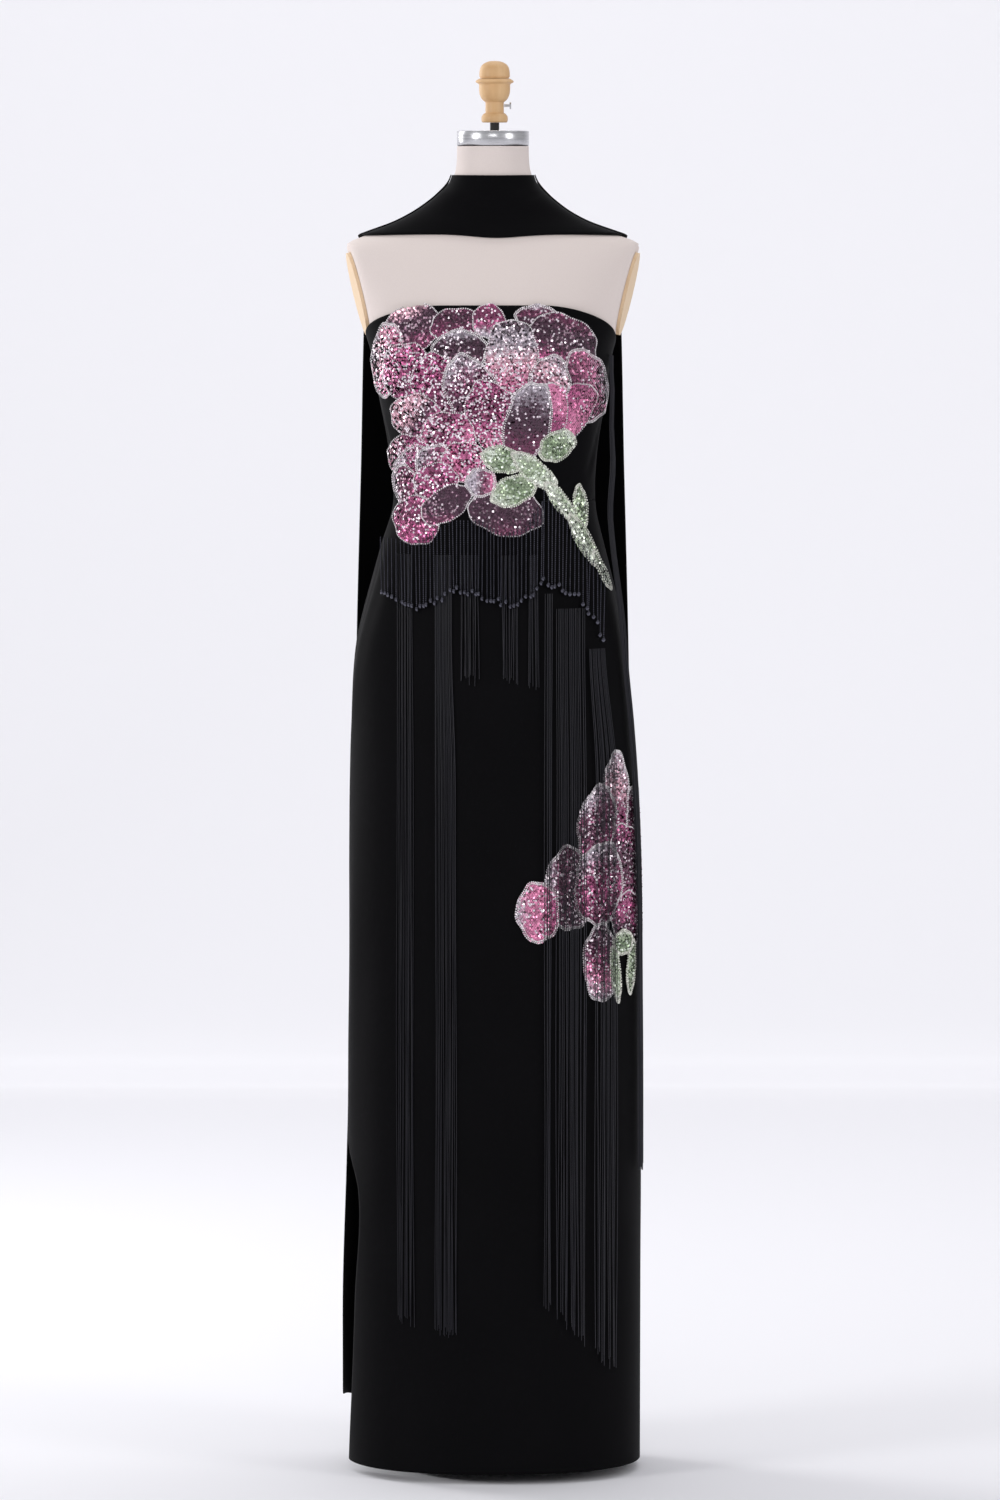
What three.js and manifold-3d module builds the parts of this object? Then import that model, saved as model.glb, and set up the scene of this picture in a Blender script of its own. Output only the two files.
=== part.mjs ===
// A strapless evening gown with a matching neck scarf, fringed and appliqued with flowers,
// on a limbless dress form.
// Millimetres, +Z up, floor at z = 0. The front faces -Y and +X is the wearer's left.
import * as THREE from 'three';
import { mergeVertices } from 'three/addons/utils/BufferGeometryUtils.js';
import Module from 'manifold-3d';

const wasm = await Module();
wasm.setup();

// ---- Driving sizes ----
const CLOTH_INSIDE = 1.0; // from the body line to a cloth wall's inner face
const CLOTH_OUTSIDE = 2.5; // and to its outer face
const PATCH = { inside: 3.5, outside: 5.0 }; // sewn-on sequin work
const OVERLAY = { inside: 6.3, outside: 7.9 }; // fringe that hangs over other work
const BEADS = { inside: 6.9, outside: 8.5 }; // bead fringe, over the threads
const SEAM_GAP = 0.3;
const SEAM_ANGLE = 0.11; // degrees, the same gap at a vertical seam
const FACET = 10; // degrees, one facet round the body

const HEM_Z = 4;
const WAIST_Z = 1160;
const NECKLINE_Z = 1391;
const SIDE_TOP_RIGHT = 1351; // the neckline's height under each arm
const SIDE_TOP_LEFT = 1339;
const BACK_TOP = 1334;
const SLIT_TOP_Z = 428;
const SLIT_CORNER_Z = 77; // the back panel's lower corner at the slit

const FORM_BOTTOM_Z = 790;
const NECK_TOP_Z = 1580;
const FORM_EASE = 1.0; // the padded torso stands this far inside the gown's body line
const BODY_POWER = 2.25; // 2 would make every ring an ellipse

const BASE = { radius: 108, thick: 12 };
const POLE_RADIUS = 11;
const CAP = { radius: 43, height: 18 };
const ROD = { radius: 5.5, height: 9.4 };
const FINIAL_X = 2;

// The body line: half widths on the wearer's right and left, and reach to the front and back.
const BODY = [
  { z: 0, right: 173, left: 175, front: 139, back: 138 },
  { z: 456, right: 173, left: 175.5, front: 136, back: 136 },
  { z: 600, right: 172, left: 175, front: 133, back: 135 },
  { z: 722, right: 171, left: 173.5, front: 130, back: 134 },
  { z: 818, right: 169.5, left: 169.5, front: 126, back: 134 },
  { z: 890, right: 168, left: 164.5, front: 120, back: 135 },
  { z: 939, right: 166.5, left: 160, front: 115, back: 133 },
  { z: 987, right: 161.5, left: 155, front: 110, back: 128 },
  { z: 1023, right: 153.5, left: 149.5, front: 106, back: 121 },
  { z: 1065, right: 142.5, left: 140, front: 100, back: 108 },
  { z: 1108, right: 131, left: 129.5, front: 94, back: 95 },
  { z: 1140, right: 120.5, left: 122, front: 90, back: 86 },
  { z: 1160, right: 117, left: 120, front: 88.5, back: 83 },
  { z: 1186, right: 117.5, left: 120, front: 90, back: 82 },
  { z: 1237, right: 125, left: 124.5, front: 103, back: 86 },
  { z: 1265, right: 130.5, left: 129.5, front: 113, back: 90 },
  { z: 1290, right: 135.5, left: 134, front: 121, back: 94 },
  { z: 1317, right: 140, left: 137, front: 125, back: 97 },
  { z: 1340, right: 144.5, left: 142, front: 124, back: 99 },
  { z: 1365, right: 153, left: 151, front: 117, back: 101 },
  { z: 1391, right: 162, left: 161, front: 107, back: 102 },
  { z: 1420, right: 172, left: 172, front: 94, back: 99 },
  { z: 1445, right: 180, left: 180, front: 81, back: 91 },
  { z: 1457, right: 181, left: 181, front: 74, back: 84 },
  { z: 1466, right: 172, left: 172, front: 69, back: 78 },
  { z: 1475, right: 149, left: 147, front: 64, back: 72 },
  { z: 1486, right: 119, left: 116, front: 59, back: 65 },
  { z: 1497, right: 97, left: 94, front: 55, back: 60 },
  { z: 1508, right: 80, left: 78, front: 52, back: 56 },
  { z: 1520, right: 65, left: 64, front: 49.5, back: 53 },
  { z: 1535, right: 51, left: 51, front: 47, back: 49 },
  { z: 1550, right: 45, left: 45, front: 45, back: 46 },
  { z: 1566, right: 43, left: 43, front: 43, back: 43.5 },
  { z: 1600, right: 43, left: 43, front: 43, back: 43 },
];

// The line that the scarf's ends hang on, from the shoulders to the hips.
const DRAPE = [
  { z: 860, right: 184, left: 182, front: 100, back: 139 },
  { z: 939, right: 184, left: 182, front: 100, back: 139 },
  { z: 1200, right: 184, left: 182, front: 100, back: 121 },
  { z: 1391, right: 183, left: 181, front: 107, back: 110 },
  { z: 1420, right: 183, left: 182, front: 94, back: 106 },
  { z: 1445, right: 183, left: 183, front: 81, back: 96 },
  { z: 1457, right: 183, left: 183, front: 74, back: 87 },
];

// Degrees by which the front panel's free edge stands forward of the side seam.
const SLIT_EDGE = [
  { z: 0, pull: 8 },
  { z: 90, pull: 14 },
  { z: 200, pull: 18 },
  { z: 333, pull: 21 },
  { z: SLIT_TOP_Z, pull: 0 },
  { z: WAIST_Z, pull: 0 },
];

// Sequinned petals and green leaves as ellipses, seen square on: centre, half sizes and tilt.
const BODICE_FLOWER = [
  { name: 'upper right', across: -92, z: 1367, wide: 33, tall: 26, tilt: 20 },
  { name: 'upper dark', across: -41, z: 1368, wide: 30, tall: 21, tilt: 0 },
  { name: 'crown', across: -5, z: 1372, wide: 19, tall: 20, tilt: 0 },
  { name: 'upper small', across: 51, z: 1377, wide: 26, tall: 14, tilt: 0 },
  { name: 'upper left', across: 78, z: 1349, wide: 42, tall: 31, tilt: -20 },
  { name: 'outer left', across: 106, z: 1296, wide: 27, tall: 44, tilt: 10 },
  { name: 'outer right', across: -123, z: 1328, wide: 18, tall: 44, tilt: -4 },
  { name: 'heart right', across: -62, z: 1313, wide: 68, tall: 56, tilt: 0 },
  { name: 'heart', across: 12, z: 1322, wide: 42, tall: 54, tilt: 0 },
  { name: 'front petal', across: 48, z: 1270, wide: 50, tall: 52, tilt: 0 },
  { name: 'side curls', across: -80, z: 1230, wide: 43, tall: 62, tilt: 0 },
  { name: 'centre', across: -15, z: 1221, wide: 52, tall: 52, tilt: 0 },
  { name: 'lower lobe', across: -88, z: 1137, wide: 27, tall: 29, tilt: 0 },
  { name: 'lower oval', across: -55, z: 1155, wide: 34, tall: 23, tilt: 35 },
  { name: 'lower petal', across: 14, z: 1148, wide: 45, tall: 31, tilt: -10 },
];
const BODICE_LEAVES = [
  { name: 'upper sepal', across: 11, z: 1212, wide: 25, tall: 16, tilt: -15 },
  { name: 'lower sepal', across: 24, z: 1173, wide: 29, tall: 19, tilt: 25 },
  { name: 'side leaf', across: 74, z: 1227, wide: 25, tall: 17, tilt: 38 },
  { name: 'node', across: 48, z: 1197, wide: 34, tall: 18, tilt: -42 },
  { name: 'stem', across: 79, z: 1158, wide: 31, tall: 10, tilt: -55 },
  { name: 'small leaf', across: 101, z: 1152, wide: 9, tall: 28, tilt: 6 },
  { name: 'lower stem', across: 105, z: 1112, wide: 35, tall: 10, tilt: -62 },
  { name: 'tip', across: 126, z: 1076, wide: 26, tall: 5, tilt: -66 },
];
const SKIRT_FLOWER = [
  { name: 'front lobe', across: -52, z: 675, wide: 22, tall: 37, tilt: 0 },
  { name: 'front petal', across: -19, z: 702, wide: 27, tall: 52, tilt: 0 },
  { name: 'lower petal', across: 19, z: 612, wide: 25, tall: 48, tilt: 0 },
  { name: 'heart', across: 20, z: 700, wide: 40, tall: 78, tilt: 0 },
  { name: 'upper petal', across: 18, z: 776, wide: 26, tall: 48, tilt: -12 },
  { name: 'crown', across: 51, z: 802, wide: 24, tall: 60, tilt: 0 },
  { name: 'side heart', across: 68, z: 710, wide: 45, tall: 82, tilt: 0 },
  { name: 'side upper', across: 98, z: 768, wide: 32, tall: 54, tilt: 12 },
  { name: 'side lower', across: 104, z: 690, wide: 34, tall: 54, tilt: 0 },
  { name: 'back petal', across: 128, z: 732, wide: 26, tall: 46, tilt: 0 },
];
const SKIRT_LEAVES = [
  { name: 'front leaf', across: 41, z: 598, wide: 9, tall: 36, tilt: 6 },
  { name: 'side leaf', across: 72, z: 604, wide: 11, tall: 34, tilt: -8 },
  { name: 'calyx', across: 56, z: 634, wide: 20, tall: 16, tilt: 0 },
];
const FLOWER_TOP = 1392.5; // the sequin work stops at the neckline
const LEAF_CLEARANCE = 0.35;

// Bead fringe: a row per station across the front, from its sewn edge to its crystal ends.
const FLOWER_BEADS = [
  { x: -128, top: 1112, bottom: 1054 },
  { x: -112, top: 1112, bottom: 1042 },
  { x: -92, top: 1104, bottom: 1034 },
  { x: -66, top: 1122, bottom: 1042 },
  { x: -45, top: 1134, bottom: 1060 },
  { x: -16, top: 1122, bottom: 1052 },
  { x: 12, top: 1112, bottom: 1040 },
  { x: 36, top: 1122, bottom: 1044 },
  { x: 57, top: 1150, bottom: 1062 },
];
const STEM_BEADS = [
  { x: 58.5, top: 1166, bottom: 1068 },
  { x: 78, top: 1140, bottom: 1058 },
  { x: 96, top: 1112, bottom: 1050 },
  { x: 114, top: 1084, bottom: 1026 },
  { x: 128, top: 1054, bottom: 990 },
];

// Thread fringe: where each hank starts, where it ends, and its bottom at both its edges.
const HANKS = [
  { name: 'a', top: 1096, from: -112, to: -94, low: [-112, -93], bottom: [190, 183], over: PATCH },
  { name: 'b', top: 1096, from: -68, to: -48, low: [-68, -43], bottom: [176, 172], over: PATCH },
  { name: 'c', top: 1096, from: -38, to: -18, low: [-38, -19], bottom: [950, 946], over: PATCH },
  { name: 'd', top: 1096, from: 9, to: 29, low: [9, 29], bottom: [952, 948], over: PATCH },
  { name: 'e', top: 1096, from: 41, to: 53, low: [41, 52], bottom: [944, 940], over: PATCH },
  { name: 'f', top: 1050, from: 60, to: 69, low: [60, 68], bottom: [208, 202], over: OVERLAY },
  { name: 'g', top: 1032, from: 73, to: 106, low: [74, 108], bottom: [196, 158], over: OVERLAY },
  { name: 'h', top: 984, from: 110, to: 128, low: [118, 143], bottom: [148, 120], over: OVERLAY },
];
const HANK_SPREAD = [1000, 820]; // heights between which a hank moves from its top to its low place

// The hank at the wearer's left side hangs free of the waist.
const SIDE_HANK = { from: 342.5, to: 347 };
const SIDE_HANK_LINE = [
  { z: 356, off: 6.6 },
  { z: 900, off: 6.6 },
  { z: 975, off: 6 },
  { z: 1080, off: 15 },
  { z: 1190, off: 27 },
  { z: 1270, off: 14 },
  { z: 1333, off: 3.3 },
];
const SIDE_HANK_THICK = 4;

// ---- Materials ----
const finish = (color, roughness, metalness = 0) =>
  new THREE.MeshStandardMaterial({ color, roughness, metalness });
const crepe = finish(0x0c0c0e, 0.75);
const sequins = finish(0x8a3f6b, 0.3, 0.5);
const greenBeads = finish(0x8fa287, 0.4, 0.2);
const jet = finish(0x0a0a0c, 0.25);
const thread = finish(0x101018, 0.55);
const jersey = finish(0xe6ddd6, 0.85);
const wood = finish(0xc49a6a, 0.5);
const steel = finish(0xb8babd, 0.3, 1);
const blackMetal = finish(0x151515, 0.4, 0.8);

const gown = new THREE.Group();

function addPart(name, geometry, material) {
  const mesh = new THREE.Mesh(geometry, material);
  mesh.name = name;
  gown.add(mesh);
  return mesh;
}

// ---- The body line ----

/** A table's columns at height z, smooth through its rows. */
function rowAt(table, z) {
  const last = table.length - 1;
  const height = THREE.MathUtils.clamp(z, table[0].z, table[last].z);
  let i = 0;
  while (i < last - 1 && height > table[i + 1].z) {
    i += 1;
  }
  const [before, low, high, after] = [i - 1, i, i + 1, i + 2].map(
    (k) => table[THREE.MathUtils.clamp(k, 0, last)],
  );
  const span = high.z - low.z;
  const t = (height - low.z) / span;
  const blend = (key) => {
    const slopeLow = ((high[key] - before[key]) / (high.z - before.z)) * span;
    const slopeHigh = ((after[key] - low[key]) / (after.z - low.z)) * span;
    const rise = high[key] - low[key];
    const bend = 3 * rise - 2 * slopeLow - slopeHigh;
    const twist = slopeLow + slopeHigh - 2 * rise;
    return low[key] + t * (slopeLow + t * (bend + t * twist));
  };
  return Object.fromEntries(Object.keys(low).map((key) => [key, key === 'z' ? z : blend(key)]));
}

/** The point of a table's ring at an angle: 0 is +X, 90 the back, 180 -X, 270 the front. */
function ringPoint(table, degrees, z) {
  const row = rowAt(table, z);
  const angle = THREE.MathUtils.degToRad(degrees);
  const [x, y] = [Math.cos(angle), Math.sin(angle)];
  const wide = x > 0 ? row.left : row.right;
  const deep = y > 0 ? row.back : row.front;
  const sum = (Math.abs(x) / wide) ** BODY_POWER + (Math.abs(y) / deep) ** BODY_POWER;
  const reach = sum ** (-1 / BODY_POWER);
  return new THREE.Vector3(x * reach, y * reach, z);
}

/** The same point moved square off the surface. */
function offPoint(table, degrees, z, off) {
  const across = ringPoint(table, degrees + 1, z).sub(ringPoint(table, degrees - 1, z));
  const up = ringPoint(table, degrees, z + 2).sub(ringPoint(table, degrees, z - 2));
  return across.cross(up).setLength(off).add(ringPoint(table, degrees, z));
}

/** The angle at which the front of the body line stands at x. */
function frontAngle(x, z) {
  const row = rowAt(BODY, z);
  const share = (Math.abs(x) / (x > 0 ? row.left : row.right)) ** BODY_POWER;
  const y = -row.front * Math.max(1 - share, 0) ** (1 / BODY_POWER);
  return 360 + THREE.MathUtils.radToDeg(Math.atan2(y, x));
}

// ---- Closed walls ----

/** A closed wall between two grids of points, each given by (share across, share up). */
function wall(columns, rows, inner, outer) {
  const positions = [];
  const faces = [];
  const put = (place) => {
    const start = positions.length / 3;
    for (let j = 0; j <= rows; j += 1) {
      for (let i = 0; i <= columns; i += 1) {
        positions.push(...place(i / columns, j / rows).toArray());
      }
    }
    return (i, j) => start + j * (columns + 1) + i;
  };
  const front = put(outer);
  const back = put(inner);
  const quad = (a, b, c, d) => faces.push(a, b, c, a, c, d);
  for (let j = 0; j < rows; j += 1) {
    for (let i = 0; i < columns; i += 1) {
      quad(front(i, j), front(i + 1, j), front(i + 1, j + 1), front(i, j + 1));
      quad(back(i, j), back(i, j + 1), back(i + 1, j + 1), back(i + 1, j));
    }
    quad(front(0, j), front(0, j + 1), back(0, j + 1), back(0, j));
    quad(front(columns, j), back(columns, j), back(columns, j + 1), front(columns, j + 1));
  }
  for (let i = 0; i < columns; i += 1) {
    quad(front(i, 0), back(i, 0), back(i + 1, 0), front(i + 1, 0));
    quad(front(i, rows), front(i + 1, rows), back(i + 1, rows), back(i, rows));
  }
  const geometry = new THREE.BufferGeometry();
  geometry.setAttribute('position', new THREE.Float32BufferAttribute(positions, 3));
  geometry.setIndex(faces);
  geometry.computeVertexNormals();
  return geometry;
}

/** A garment panel: a wall between two angles, and between a lower and an upper edge. */
function panel({ from, to, bottom, top, rows, inside = CLOTH_INSIDE, outside = CLOTH_OUTSIDE,
  edgePull = () => 0, flare = () => 0, ease = (v) => v }) {
  const columns = Math.round((to - from) / FACET);
  const start = from + SEAM_ANGLE;
  const end = to - SEAM_ANGLE;
  const place = (off) => (u, v) => {
    const degrees = THREE.MathUtils.lerp(start, end, u);
    const z = THREE.MathUtils.lerp(bottom(degrees), top(degrees), ease(v));
    const turned = degrees + edgePull(z) * (1 - u);
    return offPoint(BODY, turned, z, off + flare(turned, z));
  };
  return wall(columns, rows, place(inside), place(outside));
}

// ---- Bodice and skirt ----

const wave = (share) => Math.sin((THREE.MathUtils.clamp(share, 0, 1) * Math.PI) / 2);

function neckline(degrees) {
  const onLeft = degrees < 90 || degrees > 270;
  const side = onLeft ? SIDE_TOP_LEFT : SIDE_TOP_RIGHT;
  const fromSide = onLeft ? Math.min(degrees, 360 - degrees) : Math.abs(degrees - 180);
  const peak = degrees > 180 ? NECKLINE_Z : BACK_TOP;
  return side + (peak - side) * wave(fromSide / 60);
}

const waistAbove = () => WAIST_Z + SEAM_GAP / 2;
const waistBelow = () => WAIST_Z - SEAM_GAP / 2;
const hem = () => HEM_Z;
const closerAtWaist = (v) => 1 - (1 - v) ** 1.7;
const slitHem = (degrees) => HEM_Z + (SLIT_CORNER_Z - HEM_Z) * wave((degrees - 90) / 90) ** 2;
const slitPull = (z) => Math.max(rowAt(SLIT_EDGE, z).pull, 0);
const slitFlare = (degrees, z) =>
  6 * wave((degrees - 120) / 60) ** 2 * wave((SLIT_TOP_Z - z) / 260) ** 2;

const bodicePanel = (from, to) =>
  panel({ from, to, bottom: waistAbove, top: neckline, rows: 9 });

addPart('bodice_front', bodicePanel(180, 360), crepe);
addPart('bodice_back_left', bodicePanel(0, 90), crepe);
addPart('bodice_back_right', bodicePanel(90, 180), crepe);
addPart(
  'skirt_front',
  panel({ from: 180, to: 360, bottom: hem, top: waistBelow, rows: 16, ease: closerAtWaist, edgePull: slitPull }),
  crepe,
);
addPart('skirt_back_left', panel({ from: 0, to: 90, bottom: hem, top: waistBelow, rows: 16, ease: closerAtWaist }), crepe);
addPart(
  'skirt_back_right',
  panel({ from: 90, to: 180, bottom: slitHem, top: waistBelow, rows: 16, ease: closerAtWaist, flare: slitFlare }),
  crepe,
);

// ---- Scarf ----

const SCARF = { low: 1473, high: 1545, inside: 0.7, outside: 2.3 };
const SCARF_END = { outer: 156, inner: 103, columns: 7, rows: 24, inside: 3.0, outside: 4.5 };
const SCARF_ENDS = [
  { name: 'scarf_end_right', mirror: false, bottom: [914, 922] },
  { name: 'scarf_end_left', mirror: true, bottom: [926, 918] },
];

addPart(
  'scarf_throat',
  panel({
    from: 180, to: 360, bottom: () => SCARF.low, top: () => SCARF.high, rows: 6,
    inside: SCARF.inside, outside: SCARF.outside,
  }),
  crepe,
);

/** One end: it leaves the shoulder's ridge, turns to the back and hangs to hip height. */
function scarfEnd({ mirror, bottom }) {
  const side = (degrees) => (mirror ? 180 - degrees : degrees);
  const place = (off) => (u, v) => {
    const share = mirror ? 1 - u : u;
    const ridge = THREE.MathUtils.lerp(SCARF.high, SCARF.low, share);
    const low = THREE.MathUtils.lerp(bottom[1], bottom[0], share);
    const z = THREE.MathUtils.lerp(low, ridge, 1 - (1 - v) ** 2);
    const reach = THREE.MathUtils.lerp(100, 18, share);
    const goal = THREE.MathUtils.lerp(SCARF_END.inner, SCARF_END.outer, share);
    const turn = 180 - SEAM_ANGLE * 2 - (180 - goal) * wave((ridge - z) / reach);
    const table = z > 1450 ? BODY : DRAPE;
    return offPoint(table, side(turn), z, off);
  };
  return wall(SCARF_END.columns, SCARF_END.rows, place(SCARF_END.inside), place(SCARF_END.outside));
}

for (const end of SCARF_ENDS) {
  addPart(end.name, scarfEnd(end), crepe);
}

// ---- Sequin work ----

function toManifold(geometry) {
  const bare = new THREE.BufferGeometry();
  bare.setAttribute('position', geometry.getAttribute('position').clone());
  if (geometry.index) {
    bare.setIndex(geometry.index);
  }
  const merged = mergeVertices(bare, 1e-4);
  return new wasm.Manifold(
    new wasm.Mesh({
      numProp: 3,
      vertProperties: new Float32Array(merged.getAttribute('position').array),
      triVerts: new Uint32Array(merged.index.array),
    }),
  );
}

function fromManifold(solid) {
  const mesh = solid.getMesh();
  const geometry = new THREE.BufferGeometry();
  geometry.setAttribute('position', new THREE.BufferAttribute(mesh.vertProperties, 3));
  geometry.setIndex(new THREE.BufferAttribute(mesh.triVerts, 1));
  geometry.computeVertexNormals();
  return geometry;
}

/** A long prism over an ellipse, pointing out of the body at an azimuth from the front. */
function petalPrism({ across, z, wide, tall, tilt }, azimuth) {
  const outline = new THREE.Shape();
  outline.absellipse(across, z, wide, tall, 0, 2 * Math.PI, false, THREE.MathUtils.degToRad(tilt));
  const prism = new THREE.ExtrudeGeometry(outline, {
    depth: 260,
    bevelEnabled: false,
    curveSegments: 4,
  });
  const turn = THREE.MathUtils.degToRad(azimuth);
  const sideways = new THREE.Vector3(Math.cos(turn), Math.sin(turn), 0);
  const up = new THREE.Vector3(0, 0, 1);
  const out = sideways.clone().cross(up);
  return toManifold(prism.applyMatrix4(new THREE.Matrix4().makeBasis(sideways, up, out)));
}

const union = (solids) => solids.reduce((sum, solid) => sum.add(solid));
const cover = (rows, azimuth) => union(rows.map((row) => petalPrism(row, azimuth)));

/** The same cover grown a little across and up, to cut clear of a neighbour. */
function grown(solid, azimuth) {
  const turn = THREE.MathUtils.degToRad(azimuth);
  const shifts = [[-1, -1], [-1, 1], [1, -1], [1, 1]];
  return union(
    shifts.map(([side, up]) => {
      const step = side * LEAF_CLEARANCE;
      return solid.translate([step * Math.cos(turn), step * Math.sin(turn), up * LEAF_CLEARANCE]);
    }),
  );
}

/** A flower and its leaves, side by side in one layer on the cloth. */
function sequinWork({ flower, leaves, petals, greenery, azimuth, shell }) {
  const layer = toManifold(shell);
  const green = cover(greenery, azimuth);
  addPart(leaves, fromManifold(layer.intersect(green)), greenBeads);
  const pink = cover(petals, azimuth).subtract(grown(green, azimuth));
  addPart(flower, fromManifold(layer.intersect(pink)), sequins);
}

sequinWork({
  flower: 'flower_bodice',
  leaves: 'leaves_bodice',
  petals: BODICE_FLOWER,
  greenery: BODICE_LEAVES,
  azimuth: 0,
  shell: panel({
    from: 180, to: 360, bottom: () => 1030, rows: 16, ...PATCH,
    top: (degrees) => Math.min(neckline(degrees) + 1, FLOWER_TOP),
  }),
});
sequinWork({
  flower: 'flower_skirt',
  leaves: 'leaves_skirt',
  petals: SKIRT_FLOWER,
  greenery: SKIRT_LEAVES,
  azimuth: 45,
  shell: panel({ from: 260, to: 400, bottom: () => 540, top: () => 880, rows: 8, ...PATCH }),
});

// ---- Fringe ----

/** A wall that follows the front of the skirt through a row per station across it. */
function beadFringe(stations) {
  const place = (off) => (u, v) => {
    const { x, top, bottom } = stations[Math.round(u * (stations.length - 1))];
    const z = THREE.MathUtils.lerp(bottom, top, v);
    return offPoint(BODY, frontAngle(x, z), z, off);
  };
  return wall(stations.length - 1, 4, place(BEADS.inside), place(BEADS.outside));
}

addPart('bead_fringe_flower', beadFringe(FLOWER_BEADS), jet);
addPart('bead_fringe_stem', beadFringe(STEM_BEADS), jet);

/** One hank of threads, which spreads a little on its way down the skirt. */
function hank({ top, from, to, low, bottom, over }) {
  const place = (off) => (u, v) => {
    const z = THREE.MathUtils.lerp(THREE.MathUtils.lerp(bottom[0], bottom[1], u), top, v);
    const spread = THREE.MathUtils.smoothstep(HANK_SPREAD[0] - z, 0, HANK_SPREAD[0] - HANK_SPREAD[1]);
    const start = THREE.MathUtils.lerp(from, to, u);
    const x = THREE.MathUtils.lerp(start, THREE.MathUtils.lerp(low[0], low[1], u), spread);
    return offPoint(BODY, frontAngle(x, z), z, off);
  };
  const columns = to - from > 25 ? 2 : 1;
  const rows = Math.ceil((top - bottom[0]) / 60) + 1;
  return wall(columns, rows, place(over.inside), place(over.outside));
}

for (const row of HANKS) {
  addPart(`thread_fringe_${row.name}`, hank(row), thread);
}

function sideHank() {
  const lowest = SIDE_HANK_LINE[0].z;
  const highest = SIDE_HANK_LINE[SIDE_HANK_LINE.length - 1].z;
  const place = (thick) => (u, v) => {
    const z = THREE.MathUtils.lerp(lowest, highest, v);
    const degrees = THREE.MathUtils.lerp(SIDE_HANK.from, SIDE_HANK.to, u);
    return offPoint(BODY, degrees, z, rowAt(SIDE_HANK_LINE, z).off + thick);
  };
  return wall(1, 18, place(0), place(SIDE_HANK_THICK));
}

addPart('thread_fringe_side', sideHank(), thread);

// ---- Dress form ----

const PLATE = { halfTall: 51, halfDeep: 37, thick: 4, x: 159, z: 1405, lean: 13.5, turn: 7 };

/** The plane of an armhole: its x axis points out of the form, and its z axis runs up it. */
function armholeFrame(side) {
  const frame = new THREE.Group();
  frame.position.set(side * PLATE.x, 0, PLATE.z);
  frame.rotation.set(0, side * THREE.MathUtils.degToRad(PLATE.lean), 0);
  const facing = new THREE.Group();
  facing.rotation.z = side > 0 ? 0 : Math.PI;
  facing.rotation.z -= side * THREE.MathUtils.degToRad(PLATE.turn);
  frame.add(facing);
  frame.updateMatrixWorld(true);
  return facing.matrixWorld;
}

/** The padded torso: closed rings up the body line, cut flat at both armholes. */
function torso() {
  const heights = [FORM_BOTTOM_Z, 850, 900];
  for (let z = 940; z < 1450; z += 24) {
    heights.push(z);
  }
  heights.push(1455, 1466, 1475, 1486, 1497, 1508, 1520, 1535, 1550, 1565, NECK_TOP_Z);
  const around = 360 / FACET;
  const positions = [];
  const faces = [];
  heights.forEach((z) => {
    for (let i = 0; i < around; i += 1) {
      positions.push(...offPoint(BODY, i * FACET, z, z < NECKLINE_Z ? -FORM_EASE : 0).toArray());
    }
  });
  const index = (i, j) => j * around + (i % around);
  for (let j = 0; j < heights.length - 1; j += 1) {
    for (let i = 0; i < around; i += 1) {
      faces.push(index(i, j), index(i + 1, j), index(i + 1, j + 1));
      faces.push(index(i, j), index(i + 1, j + 1), index(i, j + 1));
    }
  }
  const top = heights.length - 1;
  positions.push(0, 0, heights[0], 0, 0, heights[top]);
  const floorPoint = heights.length * around;
  for (let i = 0; i < around; i += 1) {
    faces.push(floorPoint, index(i + 1, 0), index(i, 0));
    faces.push(floorPoint + 1, index(i, top), index(i + 1, top));
  }
  const geometry = new THREE.BufferGeometry();
  geometry.setAttribute('position', new THREE.Float32BufferAttribute(positions, 3));
  geometry.setIndex(faces);
  let solid = toManifold(geometry);
  for (const side of [-1, 1]) {
    const cutter = new THREE.BoxGeometry(100, 300, 170).translate(50, 0, 0);
    solid = solid.subtract(toManifold(cutter.applyMatrix4(armholeFrame(side))));
  }
  return fromManifold(solid);
}

addPart('form_torso', torso(), jersey);

for (const [name, side] of [['form_arm_plate_right', -1], ['form_arm_plate_left', 1]]) {
  const outline = new THREE.Shape();
  outline.absellipse(0, 0, PLATE.halfDeep, PLATE.halfTall, 0, 2 * Math.PI);
  const plate = new THREE.ExtrudeGeometry(outline, {
    depth: PLATE.thick,
    bevelEnabled: false,
    curveSegments: 9,
  });
  plate.rotateX(Math.PI / 2).rotateZ(Math.PI / 2).translate(SEAM_GAP, 0, 0);
  plate.applyMatrix4(armholeFrame(side));
  addPart(name, plate, wood);
}

/** A turned piece about the vertical, from a profile of [radius, height] that closes on the axis. */
function turned(profile, z, segments = 18) {
  const points = profile.map(([radius, height]) => new THREE.Vector2(radius, height));
  const geometry = new THREE.LatheGeometry(points, segments).rotateX(Math.PI / 2);
  return geometry.translate(0, 0, z);
}

const rod = (radius, height) => [[0, 0], [radius, 0], [radius, height], [0, height]];
const capZ = NECK_TOP_Z + SEAM_GAP;
const rodZ = capZ + CAP.height + SEAM_GAP;
const finialZ = rodZ + ROD.height + SEAM_GAP;

addPart('form_neck_cap', turned(rod(CAP.radius, CAP.height), capZ, 28), steel);
addPart('form_rod', turned(rod(ROD.radius, ROD.height), rodZ, 12).translate(FINIAL_X, 0, 0), blackMetal);

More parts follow.
